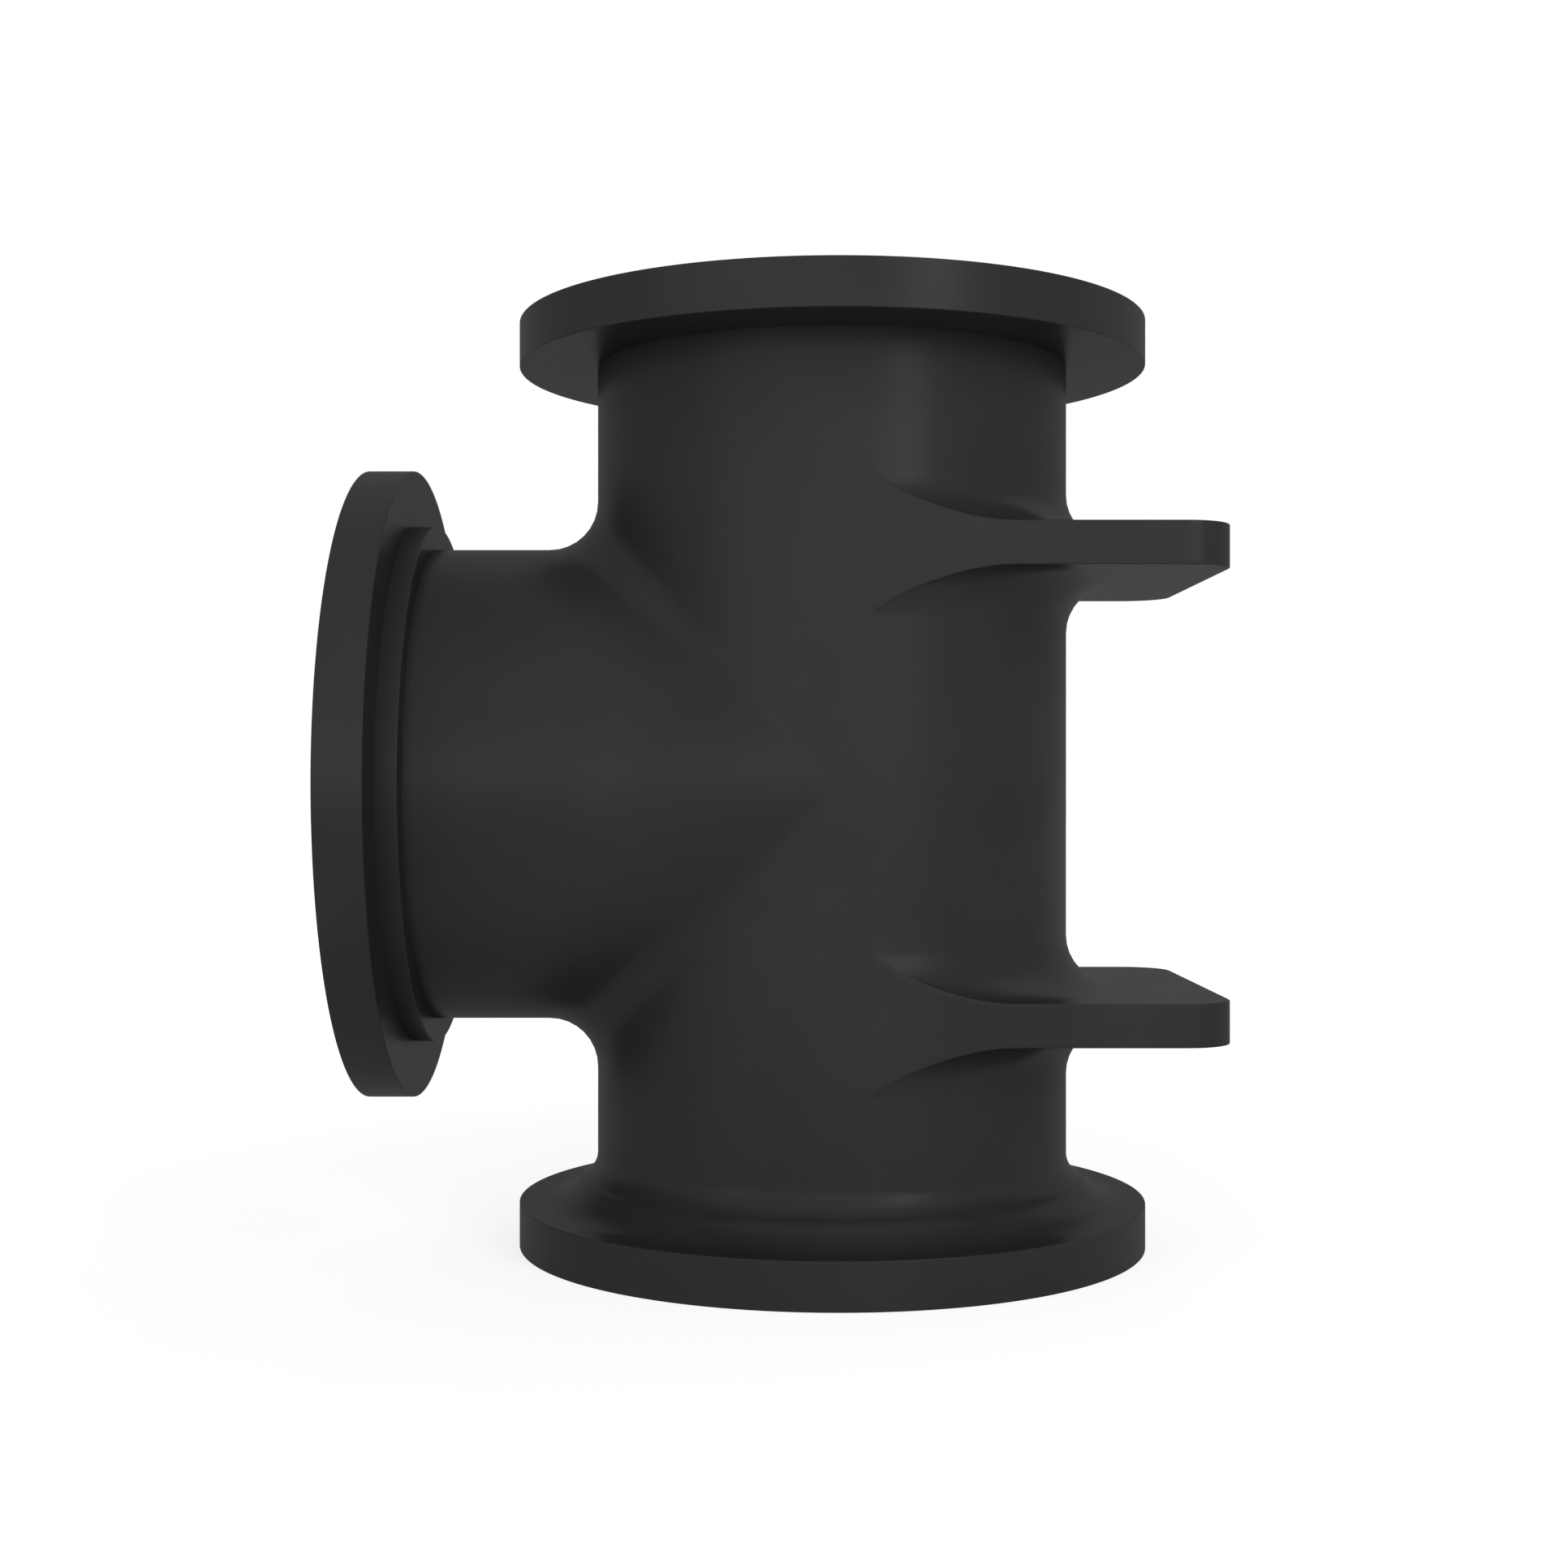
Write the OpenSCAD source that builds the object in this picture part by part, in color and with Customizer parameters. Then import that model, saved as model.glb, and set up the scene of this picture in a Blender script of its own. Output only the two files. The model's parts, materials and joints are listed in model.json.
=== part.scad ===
// Venturi tee: one moulded fitting with three flanged ports, two side ears and a jet nozzle inside.
// Millimetres. The run stands on Z, the branch leaves towards -X and the ears towards +X.
// The origin is the centre of the inlet face, on which the fitting stands.

/* [Run and branch] */
// Length of the run, from the inlet face to the outlet face
run_length = 121; // [112:1:140]
// Distance from the axis of the run to the branch face
branch_reach = 60.5; // [56:0.5:80]
// Outside diameter of the run and branch tubes
tube_d = 62; // [58:0.5:65]
// Bore of the three ports
bore_d = 50.8; // [46:0.2:53]
// Straight length of full bore inside each port
mouth_length = 12; // [6:0.5:16]
// Taper of the run and branch bores beyond their mouths, for pulling the cores
core_draft = 0.5; // [0.2:0.1:1]
// Radius of the blends in the crotches, on the ears and at the foot of the inlet hub
blend_r = 6.4; // [4.5:0.1:7.5]

/* [Flanges] */
// Diameter of the three clamp flanges
flange_d = 82.5; // [81:0.5:90]
// Thickness of a flange at its rim
flange_t = 5.9; // [4.5:0.1:8]
// Height of the branch shoulder and the inlet hub above the backs of their flanges
shoulder_h = 2.7; // [1.5:0.1:4]
// Width of the square shoulder behind the branch flange, outside the tube
shoulder_w = 3; // [1.5:0.1:5]
// Width of the inlet hub outside the tube, at its edge
hub_w = 2.4; // [1.5:0.1:3.5]
// Radius of the hollow between the inlet hub and the tube
neck_r = 3.7; // [2:0.1:5]

/* [Gasket grooves] */
// Middle diameter of the gasket groove in each port face
groove_d = 62; // [60:0.5:68]
// Width of a gasket groove
groove_w = 4.4; // [2.5:0.1:5]
// Depth of a gasket groove
groove_depth = 1.4; // [0.6:0.1:2.4]

/* [Ears] */
// Distance between the middle planes of the two ears
ear_spacing = 57.7; // [44:0.1:64]
// Thickness of an ear
ear_t = 5.3; // [3.5:0.1:7]
// Reach of the ears from the axis of the run
ear_reach = 47.9; // [44:0.1:56]
// Distance from the axis of the run to the front edge of an ear
ear_front = 30.8; // [20:0.1:31.6]
// Distance from the axis of the run to the back edge of an ear
ear_back = 22.2; // [12:0.1:30]
// Radius of the two outer corners of an ear
ear_corner_r = 6; // [2:0.5:10]

/* [Nozzle] */
// Distance from the axis of the branch down to the tip of the nozzle
tip_drop = 8.5; // [0:0.5:14]
// Bore of the throat
throat_d = 25.4; // [18:0.2:30]
// Straight length of the throat
throat_length = 6; // [2:0.5:10]
// Wall of the nozzle, measured across its axis
nozzle_wall = 2.8; // [1.8:0.1:3.6]
// Distance from the branch bore down to the floor of the pocket round the nozzle
pocket_drop = 4; // [1:0.5:7]
// Radius of the two corners of the pocket floor
pocket_r = 1.2; // [0.4:0.1:1.3]

/* [Hidden] */

plastic = [0.2, 0.2, 0.2];
round_fn = 96;     // facets of a round in the preview
blend_steps = 8;   // steps along the section of a blend
sweep_steps = 36;  // stations along a crotch blend
sweep_end = 15;    // angle round the tubes at which a crotch blend has run out
bite = 0.03;       // depth to which a blend's edges enter a tube
root = 2;          // depth to which blends and the nozzle are rooted in a wall
past = 1;          // distance by which a cut runs past a face

tube_r = tube_d / 2;
bore_r = bore_d / 2;
flange_r = flange_d / 2;
branch_z = run_length / 2;

hub_r = tube_r + hub_w;
hub_top = flange_t + shoulder_h;
neck_turn = acos((hub_w - neck_r) / neck_r);
neck_z = hub_top + neck_r * sin(neck_turn);
foot_rise = asin((blend_r - shoulder_h) / blend_r);
foot_centre = hub_r + blend_r * cos(foot_rise);

ear_depth = ear_front + ear_back;
ear_blend = tube_r + blend_r - bite;
ear_disc_r = norm([ear_reach, ear_depth]);

throat_r = throat_d / 2;
tip_z = branch_z - tip_drop;
throat_z = tip_z - throat_length;
pocket_z = branch_z - bore_r - pocket_drop;
cone_slope = (bore_r - throat_r) / (throat_z - mouth_length);
lean = atan(cone_slope);
pocket_inner = bore_r + nozzle_wall - cone_slope * (pocket_z - mouth_length);

// Radius of the run's bore at a height below its outlet mouth
function run_bore(z) = bore_r - (run_length - mouth_length - z) * tan(core_draft);

// Points along an arc about (x, y), from one angle to another
function arc(x, y, r, from, to) =
    [for (i = [0:blend_steps]) let (a = from + (to - from) * i / blend_steps) [x + r * cos(a), y + r * sin(a)]];

// Run: inlet flange with its hub, tube, and plain outlet flange.
// One hollow rises from the inlet flange and another falls from the tube, and they meet in
// a faint edge at the top of the hub.
module run() {
    rotate_extrude($fn = round_fn) polygon(concat(
        [[0, 0], [flange_r, 0], [flange_r, flange_t]],
        arc(foot_centre, flange_t + blend_r, blend_r, 270, 180 + foot_rise),
        arc(tube_r + neck_r, neck_z, neck_r, 360 - neck_turn, 180),
        [[tube_r, run_length - flange_t], [flange_r, run_length - flange_t]],
        [[flange_r, run_length], [0, run_length]]));
}

// Branch: tube, square shoulder and flange, from the axis of the run outwards
module branch() {
    back = branch_reach - flange_t;
    translate([0, 0, branch_z]) rotate([0, -90, 0]) rotate_extrude($fn = round_fn) polygon([
        [0, 0], [tube_r, 0], [tube_r, back - shoulder_h],
        [tube_r + shoulder_w, back - shoulder_h], [tube_r + shoulder_w, back],
        [flange_r, back], [flange_r, branch_reach], [0, branch_reach]]);
}

// Crotch blend: the surface that a ball leaves as it rolls along the run and the branch at once.
// The tubes are equal, so the centre of the ball stays on the plane that halves the crotch.
// The angle a goes round the tubes, 0 and 180 at their sides and 90 in the depth of the crotch.
function ball_centre(a) = (tube_r + blend_r - bite) * [-sin(a), cos(a), sin(a)];
function to_run(a) = [sin(a), -cos(a), 0];
function to_branch(a) = [0, -cos(a), -sin(a)];
function swing(a) = acos(pow(cos(a), 2));
function ball_point(a, share) = ball_centre(a)
    + blend_r / sin(swing(a)) * (sin((1 - share) * swing(a)) * to_run(a) + sin(share * swing(a)) * to_branch(a));
function rooted_point(a) = (tube_r - root) * [-sin(a), cos(a), sin(a)];

module crotch_blend() {
    turn = (180 - 2 * sweep_end) / sweep_steps;
    ring = blend_steps + 2;
    points = [for (i = [0:sweep_steps]) let (a = sweep_end + turn * i) each concat(
        [for (j = [0:blend_steps]) ball_point(a, j / blend_steps)], [rooted_point(a)])];
    sides = [for (i = [0:sweep_steps - 1], j = [0:ring - 1])
        let (here = i * ring + j, beside = i * ring + (j + 1) % ring)
        each [[here, beside, here + ring], [beside, beside + ring, here + ring]]];
    ends = [[for (j = [ring - 1:-1:0]) j], [for (j = [0:ring - 1]) sweep_steps * ring + j]];
    polyhedron(points, concat(sides, ends));
}

// Ear: a plate with a blend above and below it, turned about the run and trimmed to its plan
module ear() {
    intersection() {
        rotate_extrude($fn = round_fn) polygon(concat(
            [[tube_r - root, ear_t / 2 + blend_r]],
            arc(ear_blend, ear_t / 2 + blend_r, blend_r, 180, 270),
            [[ear_disc_r, ear_t / 2], [ear_disc_r, -ear_t / 2]],
            arc(ear_blend, -ear_t / 2 - blend_r, blend_r, 90, 180),
            [[tube_r - root, -ear_t / 2 - blend_r]]));
        translate([0, 0, -ear_t / 2 - blend_r - past])
            linear_extrude(ear_t + 2 * (blend_r + past)) ear_plan();
    }
}

module ear_plan() {
    translate([0, -ear_front]) square([ear_reach - ear_corner_r, ear_depth]);
    translate([0, ear_corner_r - ear_front]) square([ear_reach, ear_depth - 2 * ear_corner_r]);
    for (y = [ear_corner_r - ear_front, ear_back - ear_corner_r])
        translate([ear_reach - ear_corner_r, y]) circle(ear_corner_r, $fn = round_fn);
}

// Groove for a gasket, cut upwards into a port face on Z = 0
module gasket_groove() {
    difference() {
        translate([0, 0, -past]) cylinder(h = groove_depth + past, d = groove_d + groove_w, $fn = round_fn);
        translate([0, 0, -2 * past])
            cylinder(h = groove_depth + 3 * past, d = groove_d - groove_w, $fn = round_fn);
    }
}

// Bores of the run and the branch, each tapering inwards from its mouth, and the three grooves.
// The nozzle later fills the run's bore from the inlet mouth to the floor of its pocket.
module waterway() {
    rotate_extrude($fn = round_fn) polygon([
        [0, -past], [bore_r, -past], [bore_r, pocket_z], [run_bore(pocket_z), pocket_z],
        [bore_r, run_length - mouth_length], [bore_r, run_length + past], [0, run_length + past]]);
    translate([0, 0, branch_z]) rotate([0, -90, 0]) rotate_extrude($fn = round_fn) polygon([
        [0, 0], [run_bore(branch_z) - bite, 0], [bore_r, branch_reach - mouth_length],
        [bore_r, branch_reach + past], [0, branch_reach + past]]);
    gasket_groove();
    translate([0, 0, run_length]) mirror([0, 0, 1]) gasket_groove();
    translate([-branch_reach, 0, branch_z]) rotate([0, 90, 0]) gasket_groove();
}

// Nozzle: a cone that narrows from the inlet to the throat, with a pocket between it and the run
module nozzle() {
    wall_r = run_bore(pocket_z + pocket_r) + bite;
    inner_centre = pocket_inner - pocket_r * tan(lean) + pocket_r / cos(lean);
    rotate_extrude($fn = round_fn) polygon(concat(
        [[bore_r + root, mouth_length], [bore_r, mouth_length], [throat_r, throat_z], [throat_r, tip_z]],
        [[throat_r + nozzle_wall, tip_z], [throat_r + nozzle_wall, throat_z]],
        arc(inner_centre, pocket_z + pocket_r, pocket_r, 180 + lean, 270),
        arc(wall_r - pocket_r, pocket_z + pocket_r, pocket_r, 270, 360),
        [[bore_r + root, pocket_z + pocket_r]]));
}

module tee_body() {
    color(plastic) union() {
        difference() {
            union() {
                run();
                branch();
                for (side = [0, 1]) translate([0, 0, branch_z]) mirror([0, 0, side]) {
                    crotch_blend();
                    translate([0, 0, ear_spacing / 2]) ear();
                }
            }
            waterway();
        }
        nozzle();
    }
}

tee_body();
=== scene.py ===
import json
from math import acos, asin, atan, cos, hypot, pi, radians, sin, tan
import bmesh
import bpy
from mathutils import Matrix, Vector


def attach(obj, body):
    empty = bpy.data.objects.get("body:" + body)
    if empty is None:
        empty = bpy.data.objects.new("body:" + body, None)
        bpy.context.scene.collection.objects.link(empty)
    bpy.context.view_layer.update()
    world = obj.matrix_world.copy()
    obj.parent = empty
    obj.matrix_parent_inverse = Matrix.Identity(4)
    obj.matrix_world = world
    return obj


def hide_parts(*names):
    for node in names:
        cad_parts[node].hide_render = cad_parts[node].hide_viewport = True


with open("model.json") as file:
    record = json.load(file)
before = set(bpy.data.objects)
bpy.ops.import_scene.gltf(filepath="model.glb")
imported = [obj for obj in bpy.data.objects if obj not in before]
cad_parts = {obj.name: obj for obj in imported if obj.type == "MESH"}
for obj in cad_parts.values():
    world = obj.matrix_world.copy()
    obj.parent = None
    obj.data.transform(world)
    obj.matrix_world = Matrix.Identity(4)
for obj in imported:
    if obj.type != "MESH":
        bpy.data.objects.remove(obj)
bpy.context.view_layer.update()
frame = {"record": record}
millimetre = 0.001
mounts = {mount["name"]: mount for mount in frame["record"]["mounts"]}
print("stage: frame loaded")

# The camera stands level in front of the fitting, a little left of the run's axis. Millimetres.
cameraPlace = {"left": 6.33, "front": 290.2, "height": 60.5, "lens": 50.0, "sensor": 36.0}


def makeCamera(place):
    camera = bpy.data.objects.new("photoCamera", bpy.data.cameras.new("photoCamera"))
    camera.data.lens = place["lens"]
    camera.data.sensor_width = place["sensor"]
    camera.data.clip_start = millimetre
    camera.location = Vector((-place["left"], -place["front"], place["height"])) * millimetre
    camera.rotation_euler = (radians(90), 0, 0)
    bpy.context.collection.objects.link(camera)
    bpy.context.scene.camera = camera


makeCamera(cameraPlace)
print("stage: camera")

# Black moulded plastic: slow clouds of tone and gloss, a fine grain and a faint ripple from the
# flow of the melt, under a thin satin skin. Sizes and depths of the patterns are in metres.
plasticLook = {
    "colour": 0.022, "colourSpread": 0.10,
    "roughness": 0.60, "roughnessSpread": 0.05, "specular": 0.0,
    "skin": 0.14, "skinRoughness": 0.32,
    "cloudSize": 0.020, "cloudDetail": 3,
    "grainSize": 0.00045, "grainDetail": 2, "grainDepth": 0.00001, "grainStrength": 0.8,
    "flowSize": 0.006, "flowDetail": 2, "flowDepth": 0.00003, "flowStrength": 0.20,
    "noiseLow": 0.3, "noiseHigh": 0.7,  # nearly all of a noise lies between these
}


def addNode(tree, kind, **settings):
    node = tree.nodes.new(kind)
    for name, value in settings.items():
        setattr(node, name, value)
    return node


def noiseNode(tree, place, size, detail):
    noise = addNode(tree, "ShaderNodeTexNoise")
    noise.inputs["Scale"].default_value = 1 / size
    noise.inputs["Detail"].default_value = detail
    tree.links.new(place, noise.inputs["Vector"])
    return noise.outputs["Fac"]


# A value that runs from start to end is brought to run from low to high
def rangeNode(tree, value, start, end, low, high):
    spread = addNode(tree, "ShaderNodeMapRange")
    tree.links.new(value, spread.inputs["Value"])
    spread.inputs["From Min"].default_value = start
    spread.inputs["From Max"].default_value = end
    spread.inputs["To Min"].default_value = low
    spread.inputs["To Max"].default_value = high
    return spread.outputs["Result"]


def bumpNode(tree, height, strength, depth, under=None):
    bump = addNode(tree, "ShaderNodeBump")
    bump.inputs["Strength"].default_value = strength
    bump.inputs["Distance"].default_value = depth
    tree.links.new(height, bump.inputs["Height"])
    if under:
        tree.links.new(under, bump.inputs["Normal"])
    return bump.outputs["Normal"]


def makePlastic(look):
    material = bpy.data.materials.new("blackMoulding")
    material.use_nodes = True
    tree = material.node_tree
    shader = tree.nodes["Principled BSDF"]
    place = addNode(tree, "ShaderNodeTexCoord").outputs["Object"]
    clouds = noiseNode(tree, place, look["cloudSize"], look["cloudDetail"])
    grain = noiseNode(tree, place, look["grainSize"], look["grainDetail"])
    flow = noiseNode(tree, place, look["flowSize"], look["flowDetail"])

    def clouded(low, high):
        return rangeNode(tree, clouds, look["noiseLow"], look["noiseHigh"], low, high)

    dark = look["colour"] * (1 - look["colourSpread"])
    light = look["colour"] * (1 + look["colourSpread"])
    shade = clouded(dark, light)
    colour = addNode(tree, "ShaderNodeCombineColor")
    for channel in ("Red", "Green", "Blue"):
        tree.links.new(shade, colour.inputs[channel])
    tree.links.new(colour.outputs["Color"], shader.inputs["Base Color"])
    fine = look["roughness"] - look["roughnessSpread"]
    coarse = look["roughness"] + look["roughnessSpread"]
    tree.links.new(clouded(fine, coarse), shader.inputs["Roughness"])
    shader.inputs["Specular IOR Level"].default_value = look["specular"]
    shader.inputs["Coat Weight"].default_value = look["skin"]
    shader.inputs["Coat Roughness"].default_value = look["skinRoughness"]
    ripple = bumpNode(tree, flow, look["flowStrength"], look["flowDepth"])
    relief = bumpNode(tree, grain, look["grainStrength"], look["grainDepth"], ripple)
    tree.links.new(relief, shader.inputs["Normal"])
    tree.links.new(relief, shader.inputs["Coat Normal"])
    return material


plastic = makePlastic(plasticLook)
print("stage: plastic")

# Sizes of the body in millimetres and angles in degrees. The bores, rims, faces and ear ends are
# mounts, and their sizes come from the record.
bodySizes = {
    "tubeRadius": 31.0, "blendRadius": 6.4,
    "shoulderHeight": 2.7, "shoulderWidth": 3.0, "hubWidth": 2.4, "neckRadius": 3.7,
    "grooveMiddle": 31.0, "grooveWidth": 4.4, "grooveDepth": 1.4,
    "earThickness": 5.3, "earFront": 30.8, "earBack": 22.2, "earCorner": 6.0,
    "throatRadius": 12.7, "throatLength": 6.0, "tipDrop": 8.5, "nozzleWall": 2.8,
    "pocketDrop": 4.0, "pocketRadius": 1.2, "coreDraft": 0.5,
    "edgeRound": 0.12, "grooveRound": 0.12, "lipRound": 0.12,
    "sharpAngle": 38.0,  # an edge that turns by more is sharp
    "mergeGap": 0.002,   # points closer than this become one
    "sideGap": 0.02,     # a point this near to the side of an ear counts as on it
    # Steps over the rolling ball, an arc, a rounded corner and the lip of an ear
    "ballSteps": 8, "arcSteps": 8, "cornerSteps": 3, "lipSteps": 3,
    # Steps across a left sheet, and on the right sheet the turn from column to column and the
    # steps round a corner of the ears' plan
    "sheetColumns": 96, "earTurn": 2.5, "cornerColumns": 8,
    "columnGap": 0.4,    # a column this near to a marked one, in steps, is left out
    "besideCorner": 2,   # the rows beside a rounded corner, in lengths that its rounding takes
    "meetRing": 1.18,    # a bore's last round ring before the bores meet, in their radii there
    # Places of rows, as shares of the way
    "endShares": (0.33, 0.67),             # from an end of the run to the blend of its ear
    "wallShares": (0.88, 0.0, -0.88),      # from the middle of an ear to the ends of its blends
    "axisShares": (0.75, 0.5, 0.25, 0.0),  # from the branch's axis back to that blend
    "branchShares": (0.0, 0.12, 0.25, 0.38, 0.5, 0.62, 0.75, 0.88),  # along the branch
    "boreShares": (0.6, 0.3, 0.0),         # from the axis of one bore out along the other
    "plateShares": (0.5, 0.95, 1.0),       # out over the plate of an ear
}


def size(name):
    return bodySizes[name] * millimetre


boreRadius = mounts["outlet_bore"]["dims"]["r_mm"] * millimetre
mouthLength = mounts["outlet_bore"]["dims"]["length_mm"] * millimetre
flangeRadius = mounts["outlet_rim"]["dims"]["r_mm"] * millimetre
flangeDepth = mounts["outlet_rim"]["dims"]["length_mm"] * millimetre
branchHeight = mounts["branch_bore"]["pos_m"][2]
runHalf = mounts["outlet_face"]["pos_m"][2] - branchHeight
branchReach = -mounts["branch_face"]["pos_m"][0]
earReach = mounts["upper_ear_end"]["pos_m"][0]
earLevel = mounts["upper_ear_end"]["pos_m"][2] - branchHeight
tubeRadius = size("tubeRadius")
blendRadius = size("blendRadius")
ballReach = tubeRadius + blendRadius
earHalf = size("earThickness") / 2 + blendRadius
meetRadius = boreRadius - (runHalf - mouthLength) * tan(radians(bodySizes["coreDraft"]))
meetStart = meetRadius * bodySizes["meetRing"]
leastCosine = 1e-6  # this and the next keep a division by nought away
leastSwing = 0.001


# Points of an arc, each with no rounding of its own
def arcPoints(centreRadius, centreLevel, radius, fromAngle, toAngle):
    points = []
    for step in range(bodySizes["arcSteps"] + 1):
        angle = fromAngle + (toAngle - fromAngle) * step / bodySizes["arcSteps"]
        points.append((centreRadius + radius * cos(angle), centreLevel + radius * sin(angle), 0))
    return points


# A route of (radius, level, rounding) becomes rows, with one beside each end of a rounded corner
def roundedRows(route):
    beside = bodySizes["besideCorner"]
    rows = [route[0][:2]]
    for before, here, after in zip(route, route[1:], route[2:]):
        if not here[2]:
            rows.append(here[:2])
            continue
        corner = Vector(here[:2])
        inward = (Vector(before[:2]) - corner).normalized()
        onward = (Vector(after[:2]) - corner).normalized()
        half = inward.angle(onward) / 2
        trim = here[2] / tan(half)
        centre = corner + (inward + onward).normalized() * here[2] / sin(half)
        first = corner + inward * trim - centre
        last = corner + onward * trim - centre
        rows.append(tuple(corner + inward * trim * beside))
        for step in range(bodySizes["cornerSteps"] + 1):
            share = step / bodySizes["cornerSteps"]
            arm = first * (1 - share) + last * share
            rows.append(tuple(centre + arm.normalized() * here[2]))
        rows.append(tuple(corner + onward * trim * beside))
    rows.append(route[-1][:2])
    return rows


# Flange, port face, gasket groove and mouth of a port whose face lies at a level. Here and below,
# a level is a distance from the axis of the other tube.
def portRoute(face):
    edge = size("edgeRound")
    groove = size("grooveRound")
    outer = size("grooveMiddle") + size("grooveWidth") / 2
    inner = size("grooveMiddle") - size("grooveWidth") / 2
    floorLevel = face - size("grooveDepth")
    return [
        (flangeRadius, face - flangeDepth, edge), (flangeRadius, face, edge),
        (outer, face, groove), (outer, floorLevel, groove),
        (inner, floorLevel, groove), (inner, face, groove),
        (boreRadius, face, edge), (boreRadius, face - mouthLength, 0),
    ]


def outletRoute():
    start = [(tubeRadius, runHalf - flangeDepth, 0)]
    return start + portRoute(runHalf) + [(meetRadius, meetStart, 0)]


def branchRoute():
    back = branchReach - flangeDepth
    under = back - size("shoulderHeight")
    wide = tubeRadius + size("shoulderWidth")
    start = [(tubeRadius, under, 0), (wide, under, size("edgeRound")), (wide, back, 0)]
    return start + portRoute(branchReach) + [(meetRadius, meetStart, 0)]


# Neck and foot of the hub, the port, the nozzle, and the pocket round it up to the run's bore
def inletRoute():
    back = runHalf - flangeDepth
    hubRadius = tubeRadius + size("hubWidth")
    neck = size("neckRadius")
    neckTurn = acos((size("hubWidth") - neck) / neck)
    neckLevel = back - size("shoulderHeight") - neck * sin(neckTurn)
    footRise = asin((blendRadius - size("shoulderHeight")) / blendRadius)
    footCentre = hubRadius + blendRadius * cos(footRise)
    tip = size("tipDrop")
    throat = tip + size("throatLength")
    throatRadius = size("throatRadius")
    outside = throatRadius + size("nozzleWall")
    slope = (boreRadius - throatRadius) / (runHalf - mouthLength - throat)
    lean = atan(slope)
    pocket = boreRadius + size("pocketDrop")
    corner = size("pocketRadius")
    foot = boreRadius + size("nozzleWall") - slope * (runHalf - mouthLength - pocket)
    innerCentre = foot - corner * tan(lean) + corner / cos(lean)
    edge = size("edgeRound")
    return (
        arcPoints(tubeRadius + neck, neckLevel, neck, pi, neckTurn)
        + arcPoints(footCentre, back - blendRadius, blendRadius, pi - footRise, pi / 2)[1:]
        + portRoute(runHalf)
        + [(throatRadius, throat, 0), (throatRadius, tip, edge)]
        + [(outside, tip, edge), (outside, throat, 0)]
        + arcPoints(innerCentre, pocket - corner, corner, pi - lean, pi / 2)
        + arcPoints(meetRadius - corner, pocket - corner, corner, pi / 2, 0)
    )


# Levels of the rows on the tube: past the ear, over its wall, and down to the branch's axis
def tubeLevels(start):
    top = earLevel + earHalf
    past = [start + (top - start) * share for share in bodySizes["endShares"]]
    wall = [earLevel + side * earHalf for side in (1.0,) + bodySizes["wallShares"] + (-1.0,)]
    down = [(earLevel - earHalf) * share for share in bodySizes["axisShares"]]
    return past, wall, down


# Rows of a left sheet: an end of the run, the tube to the crotch, the rolling ball, the branch
# and the bores
def crotchRows(endRoute):
    endRows = roundedRows(endRoute)
    branchRows = roundedRows(branchRoute())
    start = endRows[0][1]
    inside = endRows[-1][1]
    branchStart = branchRows[0][1]
    ballSteps = bodySizes["ballSteps"]
    boreShares = bodySizes["boreShares"]
    names = ("radius", "level", "follow", "leg", "ball", "share")
    rows = [(radius, level, 0, 0, 0, 0) for radius, level in reversed(endRows)]
    for levels in tubeLevels(start):
        rows += [(tubeRadius, level, (1 - level / start) * ballReach, 0, 0, 0) for level in levels]
    rows += [(tubeRadius, 0, 0, 0, 1, step / ballSteps) for step in range(1, ballSteps)]
    for share in bodySizes["branchShares"]:
        rows.append((tubeRadius, branchStart * share, (1 - share) * ballReach, 1, 0, 0))
    rows += [(radius, level, 0, 1, 0, 0) for radius, level in branchRows]
    for share in boreShares:
        rows.append((meetRadius, meetStart * share, (1 - share) * meetRadius, 1, 0, 0))
    for share in reversed(boreShares[:-1]):
        rows.append((meetRadius, inside * share, (1 - share) * meetRadius, 0, 0, 0))
    return names, rows


# Rows of the right sheet: outlet, tube with the two ears, inlet and the run's bore
def earRows():
    outletRows = roundedRows(outletRoute())
    inletRows = roundedRows(inletRoute())
    arcSteps = bodySizes["arcSteps"]
    lipSteps = bodySizes["lipSteps"]
    boreShares = bodySizes["boreShares"]
    names = ("radius", "level", "ear", "side", "arc", "flat", "lip")

    def plain(levels, radius, sign):
        return [(radius, sign * level, 0, 0, 0, 0, 0) for level in levels]

    def earFace(level, side):
        face = [(0, level, 1, side, step / arcSteps, 0, 0) for step in range(arcSteps + 1)]
        face += [(0, level, 1, side, 1, share, 0) for share in bodySizes["plateShares"]]
        face += [(0, level, 1, side, 1, 1, step / lipSteps) for step in range(1, lipSteps + 1)]
        return face

    def ear(level):
        wall = [(0, level, 1, side, 1, 1, 1) for side in bodySizes["wallShares"]]
        return earFace(level, 1) + wall + list(reversed(earFace(level, -1)))

    pastUpper, _, down = tubeLevels(outletRows[0][1])
    pastLower, _, _ = tubeLevels(inletRows[0][1])
    rows = [(radius, level, 0, 0, 0, 0, 0) for radius, level in reversed(outletRows)]
    rows += plain(pastUpper, tubeRadius, 1) + ear(earLevel) + plain(down, tubeRadius, 1)
    rows += plain(reversed(down[:-1]), tubeRadius, -1) + ear(-earLevel)
    rows += plain(reversed(pastLower), tubeRadius, -1)
    rows += [(radius, -level, 0, 0, 0, 0, 0) for radius, level in inletRows]
    rows += plain([inletRows[-1][1] * share for share in boreShares], meetRadius, -1)
    rows += plain([meetStart * share for share in reversed(boreShares[:-1])], meetRadius, 1)
    return names, rows


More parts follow.
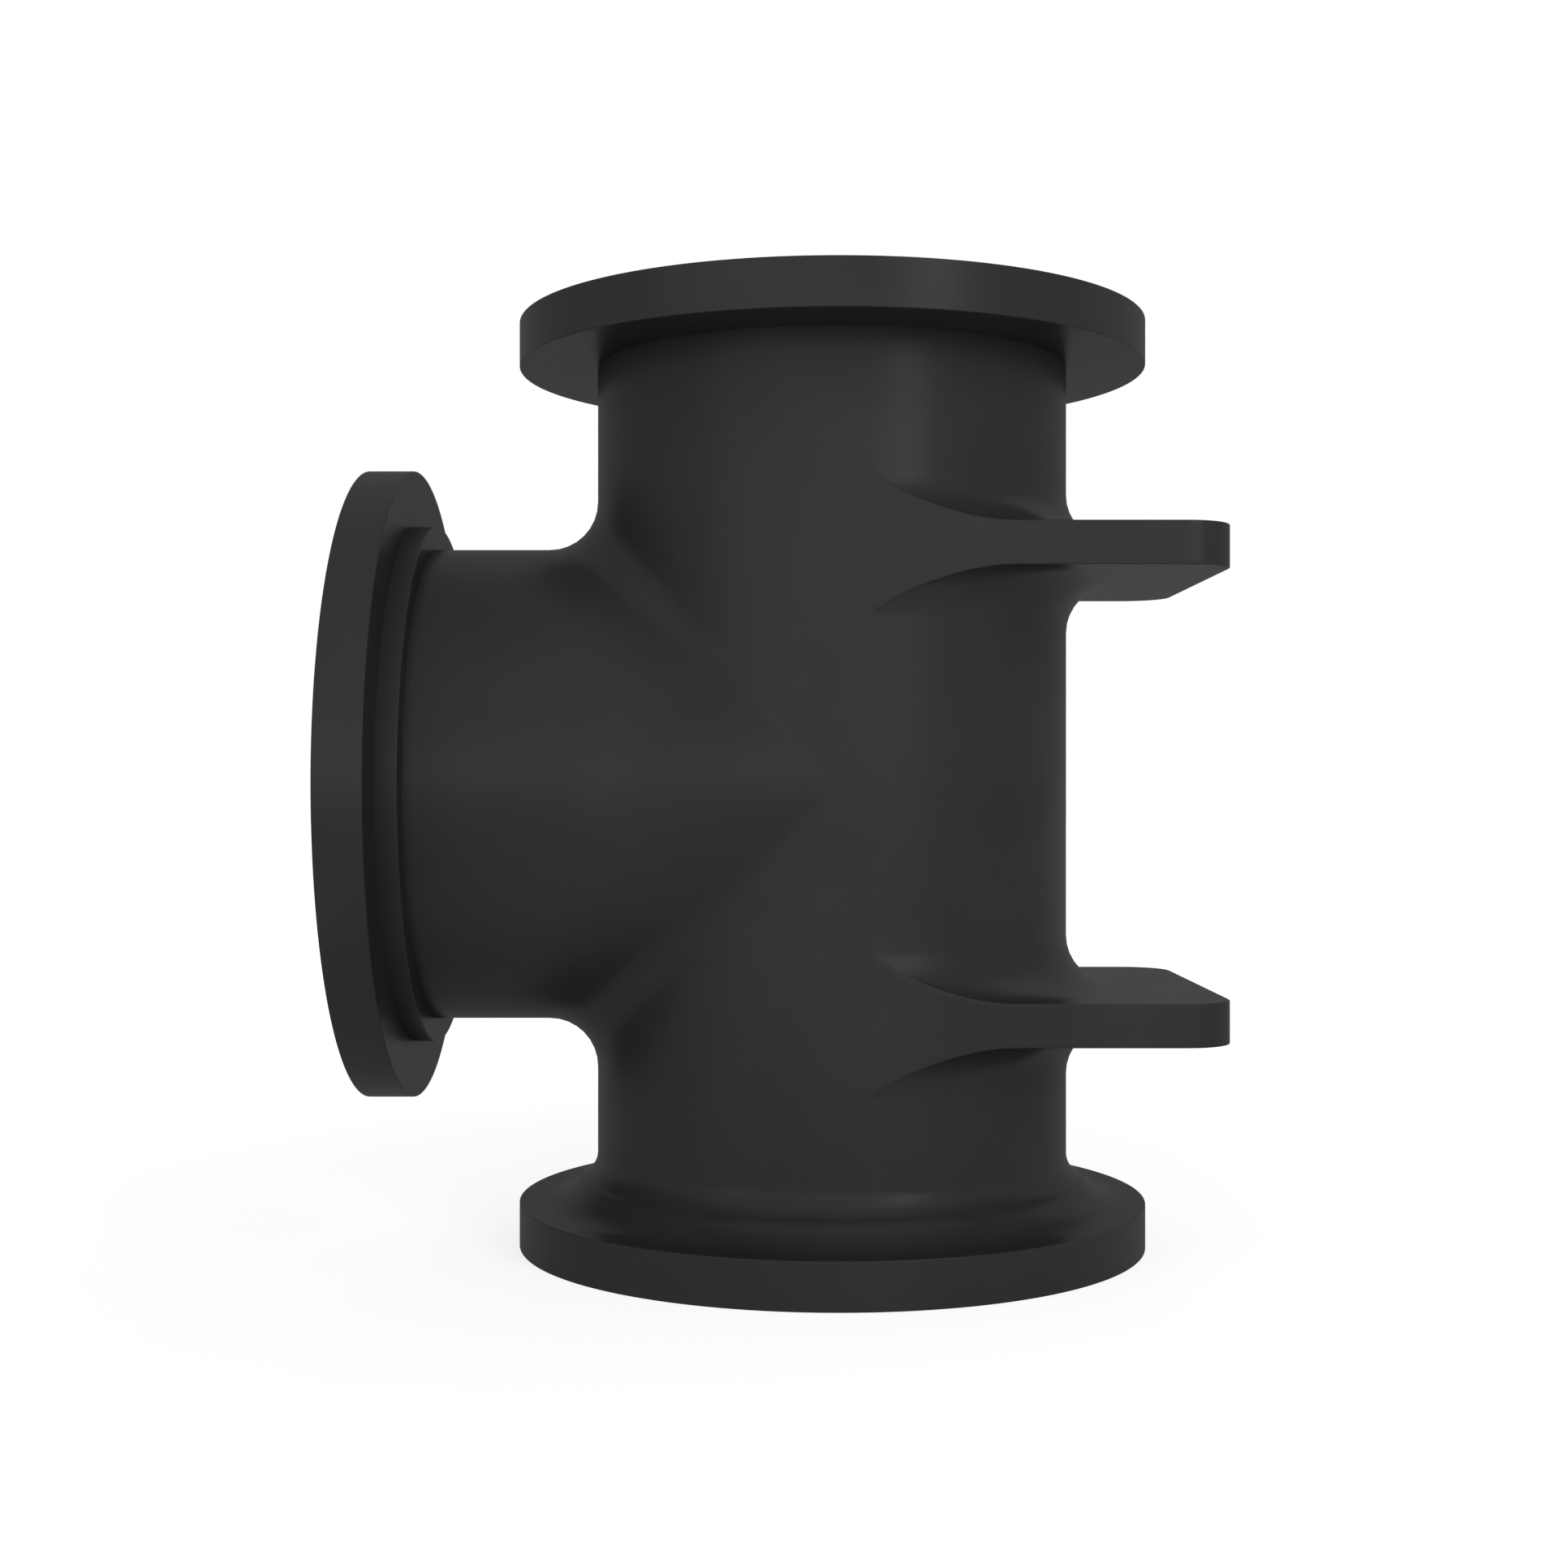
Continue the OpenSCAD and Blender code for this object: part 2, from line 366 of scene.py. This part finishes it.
# Distance from the run's axis to the edge of an ear's plan, at an angle from +X
def planEdge(angle):
    ray = Vector((cos(angle), sin(angle)))
    depth = size("earBack") if ray.y > 0 else size("earFront")
    corner = Vector((earReach - size("earCorner"), depth - size("earCorner")))
    reach = earReach / max(ray.x, leastCosine)
    if ray.y:
        reach = min(reach, depth / abs(ray.y))
    hit = Vector((ray.x, abs(ray.y)))
    if reach * hit.x > corner.x and reach * hit.y > corner.y:
        along = hit.dot(corner)
        reach = along + (along ** 2 - corner.length_squared + size("earCorner") ** 2) ** 0.5
    return reach


# Angles of the right sheet's columns: even steps, closer ones round the corners of the ears' plan,
# and the angles at which the plan leaves the tube
def earAngles():
    front = size("earFront")
    back = size("earBack")
    corner = size("earCorner")
    marks = [-pi / 2, pi / 2, -asin(front / tubeRadius), asin(back / tubeRadius)]
    for sign, depth in ((-1, front), (1, back)):
        for column in range(bodySizes["cornerColumns"] + 1):
            turn = pi / 2 * column / bodySizes["cornerColumns"]
            across = earReach - corner + corner * sin(turn)
            along = depth - corner + corner * cos(turn)
            marks.append(sign * asin(along / hypot(across, along)))
    step = radians(bodySizes["earTurn"])
    angles = list(marks)
    for index in range(1, round(pi / step)):
        angle = index * step - pi / 2
        if min(abs(angle - mark) for mark in marks) > step * bodySizes["columnGap"]:
            angles.append(angle)
    return sorted(angles)


# A number in a node tree that builds Math nodes as it is reckoned with
class Reckoned:
    def __init__(self, tree, socket):
        self.tree = tree
        self.socket = socket

    def math(self, operation, *others):
        node = addNode(self.tree, "ShaderNodeMath", operation=operation)
        for slot, value in zip(node.inputs, (self,) + others):
            if isinstance(value, Reckoned):
                self.tree.links.new(value.socket, slot)
            else:
                slot.default_value = value
        return Reckoned(self.tree, node.outputs[0])

    def __add__(self, other):
        return self.math("ADD", other)

    def __sub__(self, other):
        return self.math("SUBTRACT", other)

    def __mul__(self, other):
        return self.math("MULTIPLY", other)

    def __truediv__(self, other):
        return self.math("DIVIDE", other)

    def mixed(self, other, share):
        return self + (other - self) * share


# A tree that lays a grid of rows and columns. Each row and each column is a point of the input
# mesh, and the shape function turns what they hold into a place for each point of the grid.
def sheetTree(name, sizes, shape):
    tree = bpy.data.node_groups.new(name, "GeometryNodeTree")

    def socket(label, kind, side="INPUT"):
        tree.interface.new_socket(name=label, in_out=side, socket_type="NodeSocket" + kind)

    socket("Geometry", "Geometry")
    socket("Rows", "Int")
    socket("Columns", "Int")
    for label in sizes:
        socket(label, "Float")
    socket("Material", "Material")
    socket("Geometry", "Geometry", "OUTPUT")
    given = addNode(tree, "NodeGroupInput").outputs
    link = tree.links.new
    rows = Reckoned(tree, given["Rows"])
    grid = addNode(tree, "GeometryNodeMeshGrid")
    link(given["Columns"], grid.inputs["Vertices X"])
    link((rows + 1).socket, grid.inputs["Vertices Y"])  # the first row comes again as the last
    index = Reckoned(tree, addNode(tree, "GeometryNodeInputIndex").outputs["Index"])
    column = (index / (rows + 1)).math("FLOOR")
    row = (index - column * (rows + 1)).math("ROUND")
    rowIndex = row - rows * (row / rows).math("FLOOR")

    def held(label, place):
        attribute = addNode(tree, "GeometryNodeInputNamedAttribute", data_type="FLOAT")
        attribute.inputs["Name"].default_value = label
        sample = addNode(tree, "GeometryNodeSampleIndex", data_type="FLOAT", domain="POINT")
        link(given["Geometry"], sample.inputs["Geometry"])
        link(attribute.outputs["Attribute"], sample.inputs["Value"])
        link(place.socket, sample.inputs["Index"])
        return Reckoned(tree, sample.outputs["Value"])

    def atRow(label):
        return held(label, rowIndex)

    def atColumn(label):
        return held(label, column + rows)

    place = addNode(tree, "ShaderNodeCombineXYZ")
    amounts = {label: Reckoned(tree, given[label]) for label in sizes}
    for value, slot in zip(shape(atRow, atColumn, amounts), place.inputs):
        link(value.socket, slot)
    put = addNode(tree, "GeometryNodeSetPosition")
    link(grid.outputs["Mesh"], put.inputs["Geometry"])
    link(place.outputs["Vector"], put.inputs["Position"])
    realize = addNode(tree, "GeometryNodeRealizeInstances")
    link(put.outputs["Geometry"], realize.inputs["Geometry"])
    finish = addNode(tree, "GeometryNodeSetMaterial")
    link(realize.outputs["Geometry"], finish.inputs["Geometry"])
    link(given["Material"], finish.inputs["Material"])
    link(finish.outputs["Geometry"], addNode(tree, "NodeGroupOutput").inputs["Geometry"])
    return tree


# Left sheets: run rows turn about the run, branch rows about the branch, and between them lies the
# surface that a ball leaves as it rolls along both tubes
def crotchShape(atRow, atColumn, amounts):
    turn = atColumn("turn")
    sine = turn.math("SINE")
    cosine = turn.math("COSINE")
    radius = atRow("radius")
    leg = atRow("leg")
    ball = atRow("ball")
    share = atRow("share")
    blend = amounts["Blend radius"]
    reach = atRow("level") + atRow("follow") * sine
    swing = (cosine * cosine).math("MINIMUM", 1.0).math("ARCCOSINE").math("MAXIMUM", leastSwing)
    toRun = (swing - share * swing).math("SINE") / swing.math("SINE") * blend
    toBranch = (share * swing).math("SINE") / swing.math("SINE") * blend
    centre = amounts["Tube radius"] + blend
    across = (radius * sine).mixed(reach, leg).mixed((centre - toRun) * sine, ball)
    deep = radius.mixed(centre - toRun - toBranch, ball) * cosine
    high = reach.mixed(radius * sine, leg).mixed((centre - toBranch) * sine, ball)
    return across * -1, deep, amounts["Branch height"] + amounts["Side"] * high


# Right sheet: plain rows turn about the run, and ear rows rise along the blend, over the plate to
# its plan's edge, round the lip and down the wall
def earShape(atRow, atColumn, amounts):
    turn = atColumn("turn")
    tube = amounts["Tube radius"]
    blend = amounts["Blend radius"]
    edge = atColumn("edge").math("MAXIMUM", tube)
    lip = ((edge - tube) * 0.5).math("MINIMUM", amounts["Lip"])
    rest = edge - lip
    bent = ((rest - tube) / blend) * -1 + 1
    wholeTurn = bent.math("MAXIMUM", 0.0).math("MINIMUM", 1.0).math("ARCCOSINE")
    angle = wholeTurn * atRow("arc")
    arcRadius = tube + blend - blend * angle.math("COSINE")
    half = amounts["Ear thickness"] * 0.5 + blend - blend * angle.math("SINE")
    lipTurn = atRow("lip") * (pi / 2)
    radius = arcRadius.mixed(rest, atRow("flat")) + lip * lipTurn.math("SINE")
    height = half - lip + lip * lipTurn.math("COSINE")
    ear = atRow("ear")
    across = atRow("radius").mixed(radius, ear)
    level = atRow("level") + ear * atRow("side") * height
    return across * turn.math("COSINE"), across * turn.math("SINE"), amounts["Branch height"] + level


# An input mesh whose points hold the rows and then the columns. A table is a pair: the names of
# its values, and a tuple of values for each row or column.
def sheetMesh(name, rowTable, columnTable):
    rowCount = len(rowTable[1])
    mesh = bpy.data.meshes.new(name)
    mesh.vertices.add(rowCount + len(columnTable[1]))
    for (labels, entries), start in ((rowTable, 0), (columnTable, rowCount)):
        for index, label in enumerate(labels):
            values = [0.0] * len(mesh.vertices)
            for place, entry in enumerate(entries):
                values[start + place] = entry[index]
            attribute = mesh.attributes.new(label, "FLOAT", "POINT")
            attribute.data.foreach_set("value", values)
    return mesh


# The mesh that a tree makes of an input mesh
def sheetResult(name, mesh, tree, values):
    sheet = bpy.data.objects.new(name, mesh)
    bpy.context.collection.objects.link(sheet)
    modifier = sheet.modifiers.new(name, "NODES")
    modifier.node_group = tree
    for item in tree.interface.items_tree:
        if item.in_out == "INPUT" and item.name in values:
            modifier[item.identifier] = values[item.name]
    sheet.update_tag()
    bpy.context.view_layer.update()
    evaluated = sheet.evaluated_get(bpy.context.evaluated_depsgraph_get())
    result = bpy.data.meshes.new_from_object(evaluated)
    bpy.data.objects.remove(sheet)
    bpy.data.meshes.remove(mesh)
    return result


def makeSheets():
    shared = {
        "Tube radius": tubeRadius, "Blend radius": blendRadius,
        "Branch height": branchHeight, "Material": plastic,
    }
    sharedSizes = ("Tube radius", "Blend radius", "Branch height")
    sheets = []

    def addSheet(name, tree, rowTable, columnTable, amounts):
        mesh = sheetMesh(name, rowTable, columnTable)
        counts = {"Rows": len(rowTable[1]), "Columns": len(columnTable[1])}
        sheets.append(sheetResult(name, mesh, tree, {**shared, **counts, **amounts}))

    count = bodySizes["sheetColumns"]
    turns = [(pi * index / count,) for index in range(count + 1)]
    crotchTree = sheetTree("crotchSheet", sharedSizes + ("Side",), crotchShape)
    halves = (("upperSheet", 1.0, outletRoute()), ("lowerSheet", -1.0, inletRoute()))
    for name, side, route in halves:
        addSheet(name, crotchTree, crotchRows(route), (("turn",), turns), {"Side": side})
    earColumns = [(angle, planEdge(angle)) for angle in earAngles()]
    earTree = sheetTree("earSheet", sharedSizes + ("Ear thickness", "Lip"), earShape)
    amounts = {"Ear thickness": size("earThickness"), "Lip": size("lipRound")}
    addSheet("earSheet", earTree, earRows(), (("turn", "edge"), earColumns), amounts)
    return sheets


def joinSheets(sheets):
    joined = bmesh.new()
    for sheet in sheets:
        joined.from_mesh(sheet)
        bpy.data.meshes.remove(sheet)
    bmesh.ops.remove_doubles(joined, verts=joined.verts, dist=size("mergeGap"))
    bmesh.ops.recalc_face_normals(joined, faces=joined.faces)
    openEdges = sum(1 for edge in joined.edges if not edge.is_manifold)
    mesh = bpy.data.meshes.new("teeBody")
    joined.to_mesh(mesh)
    joined.free()
    print("stage: body,", len(mesh.polygons), "faces,", openEdges, "open edges")
    return mesh


# The flat front of an ear meets the tube at a faint edge, too blunt for the sharp angle to find
def markEarSides(mesh):
    front = size("earFront")
    across = (tubeRadius ** 2 - front ** 2) ** 0.5
    near = size("sideGap")
    along = set()
    for vertex in mesh.vertices:
        place = vertex.co
        level = abs(abs(place.z - branchHeight) - earLevel)
        beside = abs(place.x - across) < near and abs(place.y + front) < near
        if beside and level < earHalf + near:
            along.add(vertex.index)
    for edge in mesh.edges:
        if edge.vertices[0] in along and edge.vertices[1] in along:
            edge.use_edge_sharp = True


def makeBody():
    mesh = joinSheets(makeSheets())
    mesh.materials.append(plastic)
    mesh.shade_smooth()
    mesh.set_sharp_from_angle(angle=radians(bodySizes["sharpAngle"]))
    markEarSides(mesh)
    body = bpy.data.objects.new("teeBody", mesh)
    bpy.context.collection.objects.link(body)
    return body


teeBody = makeBody()
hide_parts("tee_body")
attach(teeBody, "root")


# 1 for a ray from the camera, a mirror reflection or a view through glass, otherwise 0
def seenDirectly(tree):
    path = addNode(tree, "ShaderNodeLightPath")
    seen = path.outputs["Is Camera Ray"]
    for label in ("Is Glossy Ray", "Is Transmission Ray"):
        either = addNode(tree, "ShaderNodeMath", operation="MAXIMUM")
        tree.links.new(seen, either.inputs[0])
        tree.links.new(path.outputs[label], either.inputs[1])
        seen = either.outputs[0]
    return seen


# A matt pale floor. Where it is seen, white is mixed in: a share of it near the object, so that the
# object's shadow stays, and nothing else from the far distance on. Lengths are in metres.
floorLook = {
    "width": 6.0, "colour": 0.85,
    "white": 1.22, "whiteShare": 0.66, "near": 0.10, "far": 0.45,
}


def makeFloor(look):
    half = look["width"] / 2
    corners = [(-half, -half, 0), (half, -half, 0), (half, half, 0), (-half, half, 0)]
    mesh = bpy.data.meshes.new("studioFloor")
    mesh.from_pydata(corners, [], [(0, 1, 2, 3)])
    material = bpy.data.materials.new("studioFloor")
    material.use_nodes = True
    tree = material.node_tree
    tree.nodes.remove(tree.nodes["Principled BSDF"])
    matt = addNode(tree, "ShaderNodeBsdfDiffuse")
    matt.inputs["Color"].default_value = (look["colour"], look["colour"], look["colour"], 1)
    white = addNode(tree, "ShaderNodeEmission")
    white.inputs["Strength"].default_value = look["white"]
    away = addNode(tree, "ShaderNodeVectorMath", operation="LENGTH")
    tree.links.new(addNode(tree, "ShaderNodeTexCoord").outputs["Object"], away.inputs[0])
    whiteness = rangeNode(
        tree, away.outputs["Value"], look["near"], look["far"], look["whiteShare"], 1)
    share = addNode(tree, "ShaderNodeMath", operation="MULTIPLY")
    tree.links.new(seenDirectly(tree), share.inputs[0])
    tree.links.new(whiteness, share.inputs[1])
    mix = addNode(tree, "ShaderNodeMixShader")
    tree.links.new(share.outputs[0], mix.inputs["Fac"])
    tree.links.new(matt.outputs["BSDF"], mix.inputs[1])
    tree.links.new(white.outputs["Emission"], mix.inputs[2])
    tree.links.new(mix.outputs["Shader"], tree.nodes["Material Output"].inputs["Surface"])
    mesh.materials.append(material)
    floor = bpy.data.objects.new("studioFloor", mesh)
    bpy.context.collection.objects.link(floor)
    return floor


floor = makeFloor(floorLook)
print("stage: floor")

# The world is white where it is seen, and lights the object at a lower level.
worldLook = {"light": 0.42, "white": 1.0}


def makeWorld(look):
    world = bpy.data.worlds.new("studioWorld")
    world.use_nodes = True
    tree = world.node_tree
    level = rangeNode(tree, seenDirectly(tree), 0, 1, look["light"], look["white"])
    background = tree.nodes["Background"]
    background.inputs["Color"].default_value = (1, 1, 1, 1)
    tree.links.new(level, background.inputs["Strength"])
    bpy.context.scene.world = world


makeWorld(worldLook)

# Soft lamps: place and size in metres, power in watts, each aimed at the middle of the fitting
lamps = {
    "keyLamp": {"place": (0.56, -0.83, 0.40), "size": (0.30, 0.50), "power": 2.8},
    "highLamp": {"place": (0.46, -0.70, 0.76), "size": (0.20, 0.20), "power": 1.0},
    "fillLamp": {"place": (-0.36, -0.78, 0.66), "size": (1.40, 0.80), "power": 2.0},
    "frontLamp": {"place": (0.00, -1.00, 0.18), "size": (1.00, 0.32), "power": 2.0},
    "lowLamp": {"place": (-0.62, -0.70, 0.15), "size": (0.50, 0.26), "power": 0.8},
    "backLamp": {"place": (0.40, 0.60, 0.95), "size": (1.20, 0.80), "power": 2.4},
}


def makeLamp(name, lamp):
    light = bpy.data.lights.new(name, "AREA")
    light.shape = "RECTANGLE"
    light.size, light.size_y = lamp["size"]
    light.energy = lamp["power"]
    holder = bpy.data.objects.new(name, light)
    holder.location = lamp["place"]
    aim = Vector((0, 0, branchHeight)) - holder.location
    holder.rotation_euler = aim.to_track_quat("-Z", "Y").to_euler()
    bpy.context.collection.objects.link(holder)


for lampName, lamp in lamps.items():
    makeLamp(lampName, lamp)
bpy.context.scene.view_settings.view_transform = "Standard"
print("stage: lights")
